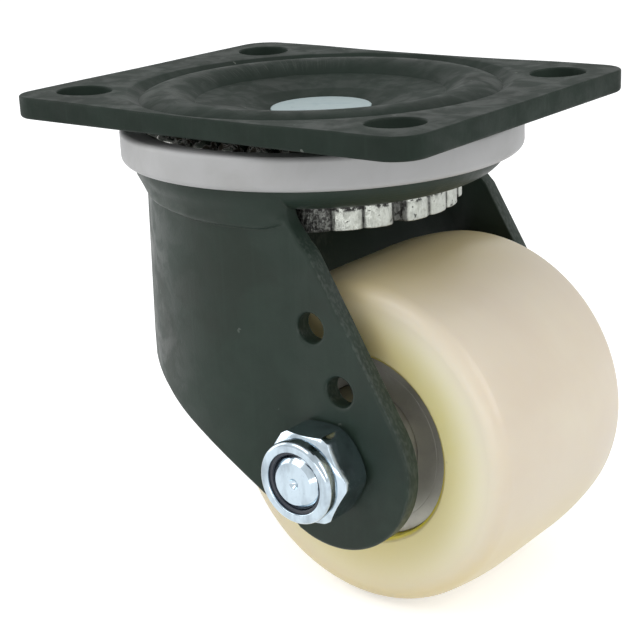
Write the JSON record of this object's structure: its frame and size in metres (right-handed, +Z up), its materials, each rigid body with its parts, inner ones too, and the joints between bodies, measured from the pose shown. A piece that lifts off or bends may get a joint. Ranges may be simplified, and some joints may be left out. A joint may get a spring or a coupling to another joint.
{
  "type": "swivel plate castor",
  "caption": "Heavy swivel castor: bolt-on plate, ball swivel head with dust ring, wrap-round fork and wide nylon wheel on an axle bolt.",
  "frame": {"origin": "centre of the mounting plate's top face, on the swivel axis", "axes": "+Z up along the swivel axis, +X towards the trailing wheel, Y along the axle with the nut on -Y"},
  "size_m": [0.1185, 0.0942, 0.1105],
  "materials": {
    "dark_paint": "satin dark green-black paint",
    "zinc": "bright blue zinc plating",
    "cast_zinc": "rough sheared and zinc plated edge",
    "bearing_steel": "ground bearing steel",
    "ball_steel": "polished balls",
    "cage_plastic": "moulded cage",
    "ring_plastic": "light grey-white moulded plastic",
    "wheel_nylon": "glossy cream cast nylon",
    "insert_nylon": "dark blue-black nylon"
  },
  "bodies": {
    "mounting": {"top_plate": "dark_paint", "kingpin": "zinc", "lower_race_ring": "cast_zinc"},
    "upper_ball_set": {"upper_balls": "ball_steel"},
    "lower_ball_set": {"lower_balls": "ball_steel"},
    "fork_assembly": {"fork": "dark_paint", "dust_ring": "ring_plastic", "axle_tube": "zinc", "centre_spacer": "zinc", "left_spacer": "zinc", "right_spacer": "zinc", "axle_bolt": "zinc", "axle_nut": "zinc", "nut_insert": "insert_nylon", "left_bearing_inner_ring": "bearing_steel", "right_bearing_inner_ring": "bearing_steel"},
    "wheel_assembly": {"wheel": "wheel_nylon", "left_bearing_outer_ring": "bearing_steel", "right_bearing_outer_ring": "bearing_steel", "left_bearing_outer_shield": "bearing_steel", "left_bearing_inner_shield": "bearing_steel", "right_bearing_outer_shield": "bearing_steel", "right_bearing_inner_shield": "bearing_steel"},
    "left_ball_set": {"left_bearing_balls": "ball_steel", "left_bearing_cage": "cage_plastic"},
    "right_ball_set": {"right_bearing_balls": "ball_steel", "right_bearing_cage": "cage_plastic"}
  },
  "joints": [
    {"name": "swivel", "type": "hinge", "parent": "mounting", "child": "fork_assembly", "pos_m": [0, 0, -0.0093], "axis": [0, 0, 1], "continuous": true},
    {"name": "wheel_spin", "type": "hinge", "parent": "fork_assembly", "child": "wheel_assembly", "pos_m": [0.02685, 0, -0.07304], "axis": [0, 1, 0], "continuous": true},
    {"name": "upper_ball_orbit", "type": "hinge", "parent": "mounting", "child": "upper_ball_set", "pos_m": [0, 0, -0.0093], "axis": [0, 0, 1], "continuous": true},
    {"name": "lower_ball_orbit", "type": "hinge", "parent": "mounting", "child": "lower_ball_set", "pos_m": [0, 0, -0.022], "axis": [0, 0, 1], "continuous": true},
    {"name": "left_ball_orbit", "type": "hinge", "parent": "fork_assembly", "child": "left_ball_set", "pos_m": [0.02685, -0.017, -0.07304], "axis": [0, 1, 0], "continuous": true},
    {"name": "right_ball_orbit", "type": "hinge", "parent": "fork_assembly", "child": "right_ball_set", "pos_m": [0.02685, 0.017, -0.07304], "axis": [0, 1, 0], "continuous": true}
  ],
  "couplings": [
    {"joint": "upper_ball_orbit", "follows": "swivel", "ratio": 0.5},
    {"joint": "lower_ball_orbit", "follows": "swivel", "ratio": 0.5},
    {"joint": "left_ball_orbit", "follows": "wheel_spin", "ratio": 0.6024},
    {"joint": "right_ball_orbit", "follows": "wheel_spin", "ratio": 0.6024}
  ]
}
